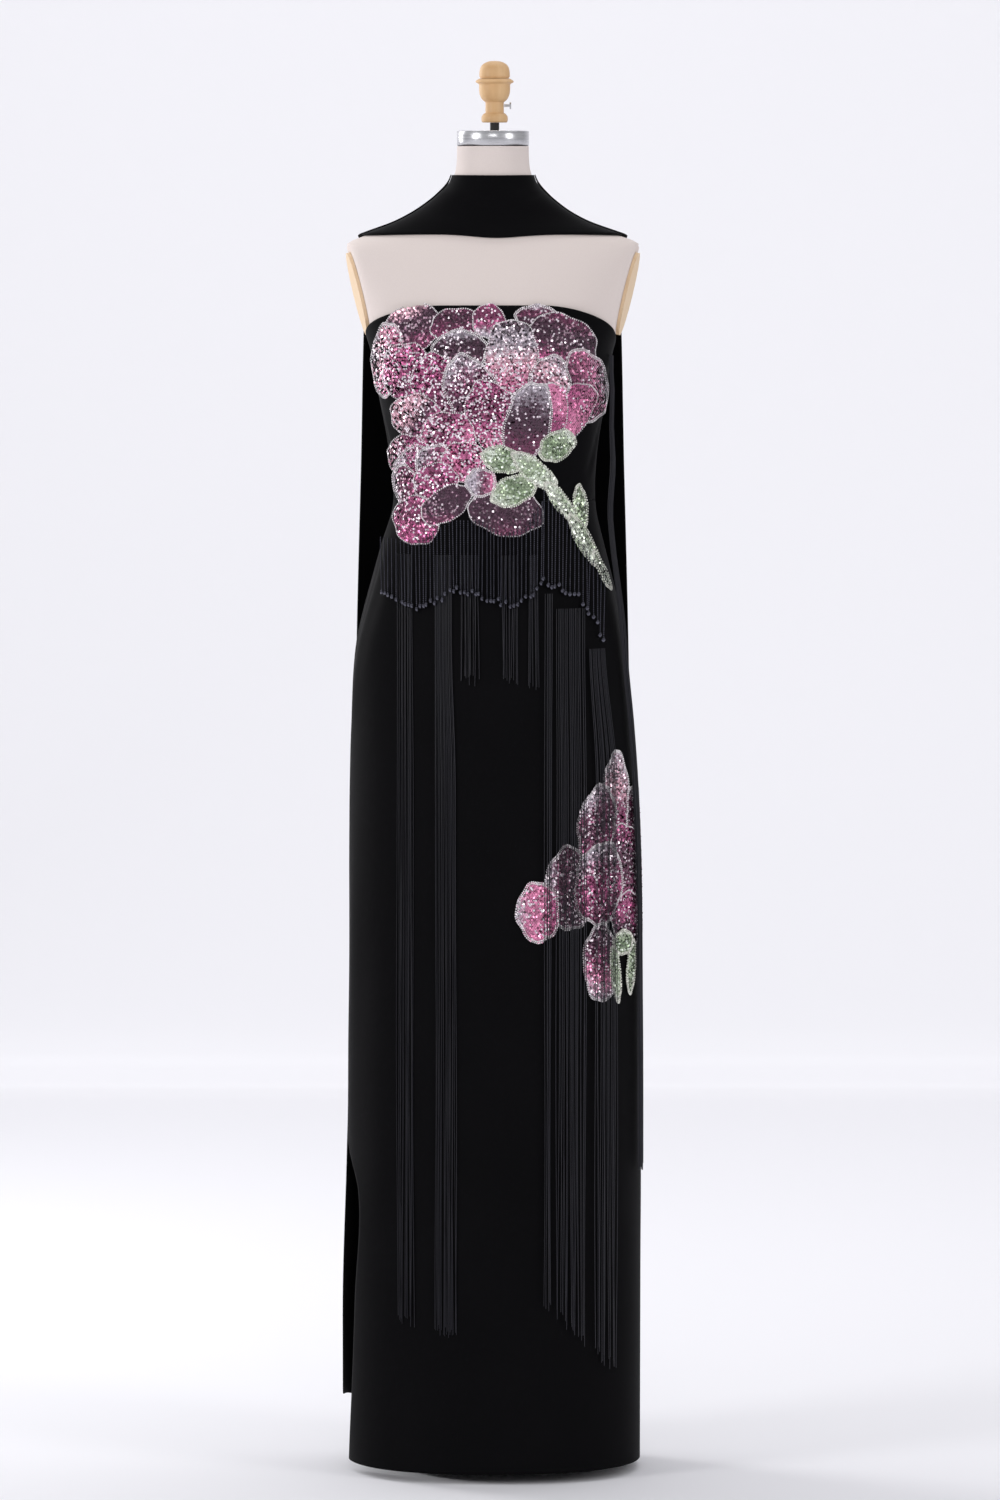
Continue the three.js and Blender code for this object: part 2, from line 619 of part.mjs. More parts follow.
const FINIAL = [
  [0, 0], [14, 0], [15.6, 2], [15.6, 6], [13.5, 10], [11, 11.5], [11, 24], [14.5, 27],
  [17.8, 33], [18.6, 40], [18.8, 45], [22.5, 47.5], [22.5, 49.5], [18, 52.5], [17.4, 53.5],
  [18.2, 54.5], [17.6, 63], [15, 68], [9, 71.5], [0, 73],
];
addPart('form_finial', turned(FINIAL, finialZ).translate(FINIAL_X, 0, 0), wood);

const screw = turned([[0, 0], [1.6, 0], [1.6, 6.5], [4.2, 6.5], [4.2, 8.4], [0, 8.4]], 0, 10);
screw.rotateY(Math.PI / 2).translate(FINIAL_X + 11 + SEAM_GAP, 0, finialZ + 20);
addPart('form_finial_screw', screw, steel);

const poleHeight = FORM_BOTTOM_Z - BASE.thick - 2 * SEAM_GAP;
addPart('form_pole', turned(rod(POLE_RADIUS, poleHeight), BASE.thick + SEAM_GAP, 12), steel);
addPart('form_base', turned(rod(BASE.radius, BASE.thick), 0, 28), blackMetal);

export default gown;
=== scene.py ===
# A strapless sequin evening gown with a neck scarf on a dress form. Metres, +Z up, front at -Y.
import bpy
import math
import random
from mathutils import Matrix, Vector


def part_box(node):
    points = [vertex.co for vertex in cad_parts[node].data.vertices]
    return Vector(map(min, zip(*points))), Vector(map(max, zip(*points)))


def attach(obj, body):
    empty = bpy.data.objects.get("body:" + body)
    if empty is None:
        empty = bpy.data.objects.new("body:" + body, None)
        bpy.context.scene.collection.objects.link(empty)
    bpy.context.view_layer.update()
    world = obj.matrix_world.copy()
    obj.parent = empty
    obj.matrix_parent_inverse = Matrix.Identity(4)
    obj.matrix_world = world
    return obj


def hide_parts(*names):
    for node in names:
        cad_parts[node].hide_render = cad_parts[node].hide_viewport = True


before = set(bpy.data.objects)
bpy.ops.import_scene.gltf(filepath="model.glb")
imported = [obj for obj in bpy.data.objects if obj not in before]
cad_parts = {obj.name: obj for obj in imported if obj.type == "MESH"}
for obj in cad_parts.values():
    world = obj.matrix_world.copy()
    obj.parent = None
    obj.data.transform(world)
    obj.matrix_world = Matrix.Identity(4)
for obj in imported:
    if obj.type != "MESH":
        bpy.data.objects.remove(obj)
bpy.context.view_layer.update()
random.seed(41)
mm = 0.001

bodyPower = 2.25  # how square the rings are: 2 is an ellipse
# Each row of body and drape, in millimetres: height, then how far right, left, front and back.
body = [
    (0, 173, 175, 139, 138), (456, 173, 175.5, 136, 136), (600, 172, 175, 133, 135),
    (722, 171, 173.5, 130, 134), (818, 169.5, 169.5, 126, 134), (890, 168, 164.5, 120, 135),
    (939, 166.5, 160, 115, 133), (987, 161.5, 155, 110, 128), (1023, 153.5, 149.5, 106, 121),
    (1065, 142.5, 140, 100, 108), (1108, 131, 129.5, 94, 95), (1140, 120.5, 122, 90, 86),
    (1160, 117, 120, 88.5, 83), (1186, 117.5, 120, 90, 82), (1237, 125, 124.5, 103, 86),
    (1265, 130.5, 129.5, 113, 90), (1290, 135.5, 134, 121, 94), (1317, 140, 137, 125, 97),
    (1340, 144.5, 142, 124, 99), (1365, 153, 151, 117, 101), (1391, 162, 161, 107, 102),
    (1420, 172, 172, 94, 99), (1445, 180, 180, 81, 91), (1457, 181, 181, 74, 84),
    (1466, 172, 172, 69, 78), (1475, 149, 147, 64, 72), (1486, 119, 116, 59, 65),
    (1497, 97, 94, 55, 60), (1508, 80, 78, 52, 56), (1520, 65, 64, 49.5, 53),
    (1535, 51, 51, 47, 49), (1550, 45, 45, 45, 46), (1566, 43, 43, 43, 43.5),
    (1600, 43, 43, 43, 43),
]
drape = [
    (860, 184, 182, 100, 139), (939, 184, 182, 100, 139), (1200, 184, 182, 100, 121),
    (1391, 183, 181, 107, 110), (1420, 183, 182, 94, 106), (1445, 183, 183, 81, 96),
    (1457, 183, 183, 74, 87),
]
waistZ, hemZ, neckTopZ = 1160, 4, 1580
clothThickness = 1.4
clothOff = 1.75  # the middle of the cloth, out from the body line


def lerp(a, b, t):
    return a + (b - a) * t


def clamp(value, low=0.0, high=1.0):
    return max(low, min(high, value))


def wave(share):
    return math.sin(clamp(share) * math.pi / 2)


def smooth(share):
    t = clamp(share)
    return t * t * (3 - 2 * t)


# A table's columns at height z, smooth through its rows.
def rowAt(table, z):
    z = clamp(z, table[0][0], table[-1][0])
    i = 0
    while i < len(table) - 2 and z > table[i + 1][0]:
        i += 1
    before, low, high, after = (table[int(clamp(k, 0, len(table) - 1))] for k in range(i - 1, i + 3))
    span = high[0] - low[0]
    t = (z - low[0]) / span
    values = []
    for k in range(1, len(low)):
        slopeLow = (high[k] - before[k]) / (high[0] - before[0]) * span
        slopeHigh = (after[k] - low[k]) / (after[0] - low[0]) * span
        rise = high[k] - low[k]
        bend = 3 * rise - 2 * slopeLow - slopeHigh
        twist = slopeLow + slopeHigh - 2 * rise
        values.append(low[k] + t * (slopeLow + t * (bend + t * twist)))
    return values


# Degrees: 0 is +X, 90 the back, 180 is -X, 270 the front.
def ringPoint(table, degrees, z):
    right, left, front, back = rowAt(table, z)
    x, y = math.cos(math.radians(degrees)), math.sin(math.radians(degrees))
    wide, deep = (left if x > 0 else right), (back if y > 0 else front)
    reach = ((abs(x) / wide) ** bodyPower + (abs(y) / deep) ** bodyPower) ** (-1 / bodyPower)
    return Vector((x * reach, y * reach, z))


def outward(table, degrees, z):
    across = ringPoint(table, degrees + 1, z) - ringPoint(table, degrees - 1, z)
    up = ringPoint(table, degrees, z + 2) - ringPoint(table, degrees, z - 2)
    return across.cross(up).normalized()


def offPoint(table, degrees, z, off):
    return ringPoint(table, degrees, z) + outward(table, degrees, z) * off


def frontAngle(x, z):
    right, left, front, _ = rowAt(body, z)
    share = (abs(x) / (left if x > 0 else right)) ** bodyPower
    y = -front * max(1 - share, 0) ** (1 / bodyPower)
    return 360 + math.degrees(math.atan2(y, x))


# A shader socket that can be added, multiplied and mixed.
class Value:
    def __init__(self, tree, socket):
        self.tree, self.socket = tree, socket

    def node(self, kind, settings=None, **inputs):
        made = self.tree.nodes.new(kind)
        for key, value in (settings or {}).items():
            setattr(made, key, value)
        for key, value in inputs.items():
            socket = int(key[1:]) if key[1:].isdigit() else key.replace("_", " ")
            self.tree.plug(made.inputs[socket], value)
        return made

    def maths(self, operation, other=0.0, swap=False):
        first, second = (other, self) if swap else (self, other)
        made = self.node("ShaderNodeMath", {"operation": operation}, i0=first, i1=second)
        return Value(self.tree, made.outputs[0])

    def __add__(self, other):
        return self.maths("ADD", other)

    def __mul__(self, other):
        return self.maths("MULTIPLY", other)

    def __sub__(self, other):
        return self.maths("SUBTRACT", other)

    def __rsub__(self, other):
        return self.maths("SUBTRACT", other, swap=True)

    __radd__ = __add__
    __rmul__ = __mul__


# A material's node tree with its main shader.
class Tree:
    def __init__(self, name):
        self.material = bpy.data.materials.new(name)
        self.material.use_nodes = True
        self.nodes, self.links = self.material.node_tree.nodes, self.material.node_tree.links
        self.shader = self.nodes["Principled BSDF"]
        self.here = Value(self, None)
        place = self.nodes.new("ShaderNodeTexCoord")
        self.place = Value(self, place.outputs["Object"])

    def plug(self, socket, value):
        if isinstance(value, Value):
            self.links.new(value.socket, socket)
        else:
            socket.default_value = value

    def set(self, **inputs):
        for key, value in inputs.items():
            self.plug(self.shader.inputs[key.replace("_", " ")], value)

    def stretched(self, scale):
        made = self.here.node("ShaderNodeMapping", {}, Vector=self.place, Scale=scale)
        return Value(self, made.outputs[0])

    def noise(self, scale, detail=3.0, where=None):
        where = where or self.place
        made = self.here.node("ShaderNodeTexNoise", {}, Vector=where, Scale=scale, Detail=detail)
        return Value(self, made.outputs["Fac"])

    def mix(self, factor, first, second):
        made = self.here.node("ShaderNodeMix", {"data_type": "RGBA"}, i0=factor, i6=first, i7=second)
        return Value(self, made.outputs[2])

    def bump(self, height, strength, distance):
        made = self.here.node("ShaderNodeBump", {}, Strength=strength, Distance=distance, Height=height)
        self.set(Normal=Value(self, made.outputs[0]))

    def colour(self, name):
        made = self.here.node("ShaderNodeVertexColor", {"layer_name": name})
        return Value(self, made.outputs["Color"])


def crepeMaterial(name, base, lift):
    t = Tree(name)
    grain = t.noise(2600.0, 2.0)
    pebble = t.noise(900.0, 3.0, t.stretched((1.0, 1.0, 0.45)))
    broad = t.noise(7.0, 2.0)
    t.set(Base_Color=t.mix(broad * 0.8, base + (1,), lift + (1,)), Roughness=0.62 + grain * 0.2)
    t.set(Sheen_Weight=0.02, Sheen_Roughness=0.35, Specular_IOR_Level=0.04)
    t.bump(grain * 0.5 + pebble, 0.35, 0.0004)
    return t.material


def sequinMaterial(name, roughness, metallic):
    t = Tree(name)
    tint = t.colour("tint")
    fleck = t.noise(420.0, 1.0)
    t.set(Base_Color=t.mix(fleck * 0.06, tint, (1, 0.9, 0.97, 1)), Roughness=roughness + fleck * 0.12)
    t.set(Metallic=metallic, Coat_Weight=0.6, Coat_Roughness=0.05)
    return t.material


def plainMaterial(name, colour, lift, roughness, metallic, scale, stretch, depth):
    t = Tree(name)
    grain = t.noise(scale, 4.0, t.stretched(stretch))
    t.set(Base_Color=t.mix(grain, colour + (1,), lift + (1,)), Roughness=roughness + grain * 0.12)
    t.set(Metallic=metallic)
    t.bump(grain, 0.3, depth)
    return t.material


crepe = crepeMaterial("crepe", (0.002, 0.002, 0.0024), (0.0045, 0.0042, 0.005))
scarfCrepe = crepeMaterial("scarf_crepe", (0.002, 0.002, 0.0024), (0.0045, 0.0042, 0.005))
sequin = sequinMaterial("sequin_foil", 0.2, 0.7)
glassBead = sequinMaterial("glass_bead", 0.12, 0.35)
threadMaterial = plainMaterial(
    "fringe_thread", (0.003, 0.003, 0.006), (0.009, 0.0085, 0.017), 0.45, 0.0, 60.0, (1, 1, 0.05), 0.0001)
jetMaterial = plainMaterial(
    "jet_bead", (0.02, 0.02, 0.026), (0.16, 0.16, 0.2), 0.06, 0.9, 300.0, (1, 1, 1), 0.0001)
jersey = plainMaterial(
    "jersey", (0.7, 0.61, 0.575), (0.78, 0.7, 0.665), 0.82, 0.0, 1400.0, (1, 1, 0.4), 0.0003)
oak = plainMaterial(
    "oak", (0.52, 0.28, 0.11), (0.82, 0.56, 0.3), 0.42, 0.0, 90.0, (1, 1, 0.08), 0.0003)
paleWood = plainMaterial(
    "plate_wood", (0.72, 0.5, 0.3), (0.82, 0.64, 0.43), 0.5, 0.0, 70.0, (1, 1, 0.1), 0.0002)
steel = plainMaterial(
    "steel", (0.5, 0.5, 0.52), (0.72, 0.72, 0.73), 0.22, 1.0, 500.0, (0.02, 0.02, 1), 0.00005)
blackMetal = plainMaterial(
    "black_metal", (0.012, 0.012, 0.012), (0.03, 0.03, 0.03), 0.35, 0.4, 80.0, (1, 1, 1), 0.0001)
print("materials made")


def addMesh(name, points, faces, material, nodes, flat=False, tints=None):
    mesh = bpy.data.meshes.new(name)
    mesh.from_pydata([tuple(p * mm) for p in points], [], faces)
    mesh.materials.append(material)
    if tints:
        layer = mesh.color_attributes.new("tint", "FLOAT_COLOR", "POINT")
        layer.data.foreach_set("color", [v for tint in tints for v in (*tint, 1.0)])
    piece = bpy.data.objects.new(name, mesh)
    bpy.context.collection.objects.link(piece)
    if not flat:
        mesh.shade_smooth()
    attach(piece, "root")
    if nodes:
        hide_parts(*nodes)
    return piece


def grid(columns, rows, place):
    points = [place(i / columns, j / rows) for j in range(rows + 1) for i in range(columns + 1)]
    faces = []
    for j in range(rows):
        for i in range(columns):
            a = j * (columns + 1) + i
            faces.append((a, a + 1, a + columns + 2, a + columns + 1))
    return points, faces


def clothPiece(name, columns, rows, place, material, flatSize, area):
    points, faces = grid(columns, rows, place)
    piece = addMesh(name, points, faces, material, [name.replace("_cloth", "")])
    wall = piece.modifiers.new("wall", "SOLIDIFY")
    wall.thickness = clothThickness * mm
    wall.offset = 0
    return piece


# Creases: where each starts and ends (degrees, height), its depth and half width in millimetres.
creases = [
    (183, 1150, 181, 880, 1.6, 16), (193, 1118, 184, 900, 2.0, 12), (200, 1080, 192, 930, 1.2, 14),
    (186, 760, 184, 420, 2.4, 20), (205, 620, 203, 300, 1.0, 26), (352, 1130, 356, 930, 1.6, 14),
    (340, 700, 342, 300, 1.2, 26), (300, 480, 296, 60, 1.2, 40), (245, 420, 240, 60, 1.4, 36),
    (20, 1110, 12, 900, 1.8, 13), (38, 820, 34, 250, 2.2, 28), (70, 1120, 60, 960, 1.4, 18),
    (112, 1110, 122, 950, 1.5, 18), (140, 800, 144, 200, 2.4, 30), (163, 1120, 172, 900, 1.9, 14),
    (100, 640, 96, 60, 1.8, 34), (262, 1215, 240, 1175, 0.8, 9), (352, 1260, 340, 1190, 1.0, 10),
    (188, 1270, 196, 1185, 1.0, 10), (14, 1250, 24, 1180, 1.1, 10), (165, 1255, 156, 1182, 1.1, 10),
]


# Soft troughs and the ridge beside each, uneven along their length.
def creaseAt(degrees, z):
    depth = 0.0
    for startTurn, startZ, endTurn, endZ, deep, half in creases:
        along = (startZ - z) / (startZ - endZ)
        if -0.15 < along < 1.15:
            away = ((degrees - lerp(startTurn, endTurn, along) + 180) % 360 - 180) * 2.4 / half
            fade = smooth((along + 0.15) / 0.4) * smooth((1.15 - along) / 0.4)
            uneven = 1 + 0.35 * math.sin(z / 37 + startTurn)
            depth += deep * fade * uneven * (math.exp(-(away - 1) ** 2) * 0.8 - math.exp(-away ** 2))
    return depth


def neckline(degrees):
    onLeft = degrees < 90 or degrees > 270
    side = 1339 if onLeft else 1351
    fromSide = min(degrees, 360 - degrees) if onLeft else abs(degrees - 180)
    return side + ((1391 if degrees > 180 else 1334) - side) * wave(fromSide / 60)


# How far the skirt front's free edge draws back, in degrees, at each height.
slitEdge = [(0, 8), (90, 14), (200, 18), (333, 21), (428, 0), (1160, 0)]


def slitPull(z):
    return max(rowAt(slitEdge, z)[0], 0)


def slitFlare(degrees, z):
    return 6 * wave((degrees - 120) / 60) ** 2 * wave((428 - z) / 260) ** 2


def backHem(degrees):
    corner = 10 * (1 - math.sqrt(max(0, 1 - clamp((degrees - 176) / 4) ** 2)))
    return hemZ + 73 * wave((degrees - 90) / 90) ** 2 + corner


def evenPull(z):
    return 0


def evenFlare(degrees, z):
    return 0


def panelPlace(start, end, bottom, top, pull=evenPull, flare=evenFlare):
    def place(u, v):
        degrees = lerp(start + 0.1, end - 0.1, u)
        z = lerp(bottom(degrees), top(degrees), v)
        turned = degrees + pull(z) * (1 - u)
        fold = creaseAt(turned, z) * smooth((z - hemZ) / 60 + 0.3)
        deepest = -0.9 if z > 780 else -4  # the form is close behind the cloth above 780
        return offPoint(body, turned, z, clothOff + flare(turned, z) + max(fold, deepest))
    return place


def aboveWaist(degrees):
    return waistZ + 0.1


def belowWaist(degrees):
    return waistZ - 0.1


def levelHem(degrees):
    return hemZ


# Each panel: name, columns and rows of its mesh, its place, its flat cut and that cut's area.
panels = [
    ("bodice_front_cloth", 120, 70, panelPlace(180, 360, aboveWaist, neckline), (0.44, 0.235), None),
    ("bodice_back_left_cloth", 60, 50, panelPlace(0, 90, aboveWaist, neckline), (0.185, 0.18), None),
    ("bodice_back_right_cloth", 60, 50, panelPlace(90, 180, aboveWaist, neckline), (0.185, 0.19), None),
    ("skirt_front_cloth", 130, 260, panelPlace(180, 360, levelHem, belowWaist, slitPull), (0.5, 1.16), 0.53),
    ("skirt_back_left_cloth", 66, 260, panelPlace(0, 90, levelHem, belowWaist), (0.26, 1.16), 0.27),
    ("skirt_back_right_cloth", 66, 260, panelPlace(90, 180, backHem, belowWaist, flare=slitFlare),
     (0.27, 1.16), 0.26),
]
for name, columns, rows, place, flatSize, area in panels:
    clothPiece(name, columns, rows, place, crepe, flatSize, area)
print("gown panels made")


scarf = {
    "low": 1473, "high": 1545, "columns": 90, "rows": 26, "throatFlat": (0.32, 0.076),
    "endColumns": 60, "endRows": 150, "endFlat": (0.16, 0.64), "endOff": 3.75,
    "outer": 103, "inner": 156, "rightBottom": (914, 922), "leftBottom": (926, 918),
}


def throatPlace(u, v):
    degrees = lerp(180.2, 359.8, u)
    middle = math.sin(u * math.pi)
    z = lerp(scarf["low"] + 2.5 * math.sin(u * 9.0) * middle, scarf["high"], v)
    ripple = 1.6 * math.sin(v * 10 + u * 3.2) * middle * smooth(v * 3) * smooth((1 - v) * 3)
    pleat = -1.2 * math.exp(-((v - 0.62 - 0.2 * math.cos(u * 6.3)) * 12) ** 2)
    return offPoint(body, degrees, z, 2.0 + max(ripple + pleat, -0.7))


clothPiece("scarf_throat_cloth", scarf["columns"], scarf["rows"], throatPlace, scarfCrepe,
           scarf["throatFlat"], None)


def endPlace(mirror, bottom):
    def place(u, v):
        share = 1 - u if mirror else u
        ridge = lerp(scarf["high"], scarf["low"], share)
        low = lerp(bottom[1], bottom[0], share)
        z = lerp(low, ridge, 1 - (1 - v) ** 2)
        reach = lerp(100, 18, share)
        turn = 179.8 - (180 - lerp(scarf["outer"], scarf["inner"], share)) * wave((ridge - z) / reach)
        table = body if z > 1450 else drape
        hang = smooth((1380 - z) / 200)
        ripple = hang * (1.8 * math.sin(share * 11 + 1.3) + 1.1 * math.sin(share * 19 + z / 260))
        return offPoint(table, 180 - turn if mirror else turn, z, scarf["endOff"] + ripple)
    return place


for name, mirror, bottom in (("scarf_end_right_cloth", False, scarf["rightBottom"]),
                             ("scarf_end_left_cloth", True, scarf["leftBottom"])):
    clothPiece(name, scarf["endColumns"], scarf["endRows"], endPlace(mirror, bottom), scarfCrepe,
               scarf["endFlat"], None)
print("scarf made")


plate = {"x": 159, "z": 1405, "lean": 13.5, "turn": 7}  # the flat face at each armhole
torso = {
    "low": 790, "neckline": 1391, "under": -1.0, "columns": 144, "rows": 170,
    "flatFrom": 120, "flatHalf": 85,
}


def armFrame(side):
    facing = (0 if side > 0 else math.pi) - side * math.radians(plate["turn"])
    lean = Matrix.Rotation(side * math.radians(plate["lean"]), 4, "Y")
    return Matrix.Translation((side * plate["x"], 0, plate["z"])) @ lean @ Matrix.Rotation(facing, 4, "Z")


def torsoPlace(u, v):
    z = lerp(torso["low"], neckTopZ, v)
    point = offPoint(body, u * 360, z, torso["under"] if z < torso["neckline"] else 0)
    for side in (-1, 1):
        arm = armFrame(side)
        local = arm.inverted() @ point
        nearPlate = point.x * side > torso["flatFrom"] and abs(local.z) < torso["flatHalf"]
        if nearPlate and local.x > 0:
            point = arm @ Vector((0, local.y, local.z))
    return point


points, faces = grid(torso["columns"], torso["rows"], torsoPlace)
faces.append(tuple(range(torso["columns"]))[::-1])
addMesh("form_torso_skin", points, faces, jersey, ["form_torso"])


def lathe(name, profile, centre, material, node, around=64):
    points, faces = [], []
    for radius, height in profile:
        for k in range(around):
            a = 2 * math.pi * k / around
            offset = Vector((radius * math.cos(a), radius * math.sin(a), height))
            points.append(Vector(centre) + offset)
    for j in range(len(profile) - 1):
        for k in range(around):
            low, high, n = j * around, (j + 1) * around, (k + 1) % around
            faces.append((low + k, low + n, high + n, high + k))
    top = (len(profile) - 1) * around
    faces.append(tuple(range(around))[::-1])
    faces.append(tuple(range(top, top + around)))
    return addMesh(name, points, faces, material, [node])


# A turned profile with its points eased by a smooth curve.
def rounded(profile, steps=6):
    result = []
    for i in range(len(profile) - 1):
        before, a = profile[max(i - 1, 0)], profile[i]
        b, after = profile[i + 1], profile[min(i + 2, len(profile) - 1)]
        for k in range(steps):
            t = k / steps
            result.append(tuple(
                0.5 * (2 * a[n] + (b[n] - before[n]) * t
                       + (2 * before[n] - 5 * a[n] + 4 * b[n] - after[n]) * t * t
                       + (3 * a[n] - before[n] - 3 * b[n] + after[n]) * t ** 3) for n in (0, 1)))
    return result + [profile[-1]]


# Radius and height of each point of the turned parts, up from their lowest.
turnedParts = {"finialX": 2, "capAround": 128}
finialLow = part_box("form_finial")[0][2] / mm
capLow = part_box("form_neck_cap")[0][2] / mm
finialBody = [(14.2, 0), (15.5, 1.5), (15.6, 6.5), (13.4, 10), (11.1, 11.4), (11, 13), (11, 23.4),
              (12, 24.6), (15.4, 28), (17.8, 33.5), (18.6, 40), (18.8, 45.2), (22.3, 47.6), (22.3, 49.6),
              (18.4, 52)]
finialDome = [(17.3, 52.4), (17.5, 53.6), (18.1, 54.6), (18, 60), (16.6, 65.8), (12.8, 70),
              (6.5, 72.6), (0.3, 73)]
capProfile = [(41.5, 0), (43, 0.8), (43, 17.2), (42.2, 18), (6, 18)]
finialPlace = (turnedParts["finialX"], 0, finialLow)
lathe("form_finial_body", rounded(finialBody), finialPlace, oak, "form_finial")
lathe("form_finial_dome", rounded(finialDome), finialPlace, oak, "form_finial")
lathe("form_cap_ring", capProfile, (0, 0, capLow), steel, "form_neck_cap", turnedParts["capAround"])

for node, material in (("form_rod", blackMetal), ("form_finial_screw", steel), ("form_pole", steel),
                       ("form_base", blackMetal), ("form_arm_plate_left", paleWood),
                       ("form_arm_plate_right", paleWood)):
    solid = bpy.data.objects[node]
    solid.data.materials.clear()
    solid.data.materials.append(material)
print("dress form made")


plum, wine, rose = (0.05, 0.006, 0.03), (0.17, 0.018, 0.08), (0.44, 0.075, 0.22)
pink, blush, silver = (0.72, 0.22, 0.4), (0.84, 0.46, 0.56), (0.56, 0.5, 0.57)
sageDark, sage, pale = (0.16, 0.24, 0.12), (0.42, 0.52, 0.34), (0.72, 0.76, 0.66)

# Petals from the back to the front: centre x and z, half width and height, tilt, the side its rim
# faces, its bands from the rim inwards, and the share of its sequins painted near white as painted
# highlights, which also sets how far its sequins tilt.
bodicePetals = [
    (-92, 1366, 33, 27, 20, 115, (blush, plum, plum, wine), 0.03),
    (51, 1376, 26, 15, 0, 90, (silver, wine, plum, plum), 0.06),
    (-41, 1366, 31, 21, 0, 90, (wine, plum, wine, rose), 0.08),
    (-5, 1372, 19, 20, 0, 90, (rose, wine, rose, silver), 0.12),
    (79, 1348, 42, 32, -20, 70, (wine, plum, plum, rose), 0.07),
    (-122, 1328, 19, 44, -4, 170, (silver, blush, pink, rose), 0.3),
    (106, 1297, 27, 44, 10, 20, (silver, pink, wine, plum), 0.08),
    (84, 1262, 24, 46, -40, 330, (pink, pink, rose, rose), 0.04),
    (-97, 1312, 30, 36, 15, 140, (pink, rose, wine, rose), 0.25),
    (-38, 1338, 32, 24, 0, 95, (silver, plum, plum, wine), 0.12),
    (22, 1332, 31, 42, 0, 90, (plum, silver, blush, pink), 0.3),
    (64, 1300, 24, 34, -12, 60, (silver, blush, wine, pink), 0.26),
    (-62, 1296, 30, 40, 20, 150, (rose, rose, wine, wine), 0.3),
    (-24, 1290, 30, 46, 24, 120, (silver, wine, plum, rose), 0.2),
    (66, 1268, 20, 34, -8, 60, (pink, pink, rose, wine), 0.03),
    (-88, 1262, 30, 26, -12, 150, (blush, blush, plum, rose), 0.22),
    (0, 1262, 30, 44, 20, 110, (rose, wine, rose, pink), 0.3),
    (40, 1254, 27, 50, -14, 80, (silver, plum, plum, wine), 0.05),
    (-52, 1238, 32, 30, 15, 160, (pink, wine, rose, pink), 0.3),
    (-98, 1214, 24, 26, -20, 170, (blush, wine, rose, rose), 0.18),
    (-86, 1200, 26, 28, -35, 160, (silver, rose, wine, pink), 0.22),
    (-64, 1204, 26, 24, -30, 150, (silver, wine, pink, pink), 0.25),
    (-100, 1178, 15, 26, 10, 190, (silver, wine, wine, rose), 0.16),
    (-34, 1208, 26, 24, 0, 200, (rose, pink, rose, pink), 0.3),
    (-66, 1184, 26, 22, 20, 200, (wine, rose, wine, rose), 0.2),
    (-88, 1136, 27, 29, 0, 250, (rose, rose, wine, rose), 0.14),
    (15, 1148, 44, 29, -10, 270, (wine, plum, plum, plum), 0.03),
    (-54, 1156, 33, 19, 36, 250, (wine, plum, plum, plum), 0.02),
    (-14, 1183, 18, 18, 0, 180, (silver, silver, wine, pink), 0.12),
]
bodiceLeaves = [
    (74, 1227, 23, 17, 38, 45, (pale, sage, sageDark, sage), 0.1),
    (11, 1211, 25, 16, -15, 150, (pale, sage, sageDark, sage), 0.14),
    (24, 1173, 28, 18, 25, 220, (pale, sage, sageDark, sage), 0.14),
    (48, 1197, 33, 13, -42, 120, (pale, sage, sage, pale), 0.1),
    (79, 1158, 31, 9, -55, 30, (pale, sage, pale, sage), 0.1),
    (101, 1152, 8, 27, 6, 30, (pale, sage, sage, sage), 0.1),
    (105, 1112, 35, 9, -62, 30, (pale, sage, pale, sage), 0.08),
    (126, 1076, 26, 4.6, -66, 30, (pale, sage, pale, sage), 0.08),
]
# The skirt flower is laid out on the cloth's own run from the side front, in millimetres.
skirtPetals = [
    (51, 802, 24, 60, 0, 90, (silver, blush, wine, rose), 0.2),
    (98, 768, 32, 54, 12, 60, (silver, wine, plum, rose), 0.14),
    (18, 776, 26, 48, -12, 110, (silver, wine, plum, rose), 0.14),
    (128, 732, 25, 45, 0, 20, (silver, pink, wine, rose), 0.14),
    (-19, 702, 26, 50, 0, 170, (silver, wine, plum, wine), 0.14),
    (104, 690, 34, 52, 0, 330, (pink, wine, rose, rose), 0.16),
    (-52, 675, 21, 36, 0, 180, (silver, pink, pink, rose), 0.14),
    (68, 715, 40, 60, 10, 80, (rose, plum, wine, rose), 0.16),
    (20, 706, 34, 50, -10, 100, (silver, wine, rose, wine), 0.18),
    (19, 612, 24, 47, 0, 260, (silver, pink, wine, plum), 0.12),
    (68, 660, 32, 34, 0, 250, (wine, plum, rose, rose), 0.16),
]
skirtLeaves = [
    (41, 598, 8.5, 35, 6, 270, (pale, sage, sage, sage), 0.1),
    (72, 604, 10.5, 33, -8, 270, (pale, sage, sage, sage), 0.1),
    (56, 634, 19, 15, 0, 90, (pale, sage, sageDark, sage), 0.12),
]


def wavyEdge(petal, angle):
    return 1 + 0.035 * math.sin(angle * 5 + petal[0]) + 0.02 * math.sin(angle * 9 + petal[1])


# 0 at a petal's middle and 1 on its softly waved outline, with the rim's share of the way.
def petalShare(petal, x, z):
    px, pz, wide, tall, tilt, rim, _, _ = petal
    turn = math.radians(tilt)
    across = ((x - px) * math.cos(turn) + (z - pz) * math.sin(turn)) / wide
    up = (-(x - px) * math.sin(turn) + (z - pz) * math.cos(turn)) / tall
    share = math.hypot(across, up) / wavyEdge(petal, math.atan2(up, across))
    facing = math.cos(math.atan2(z - pz, x - px) - math.radians(rim)) * share
    return share, 0.5 - facing * 0.5


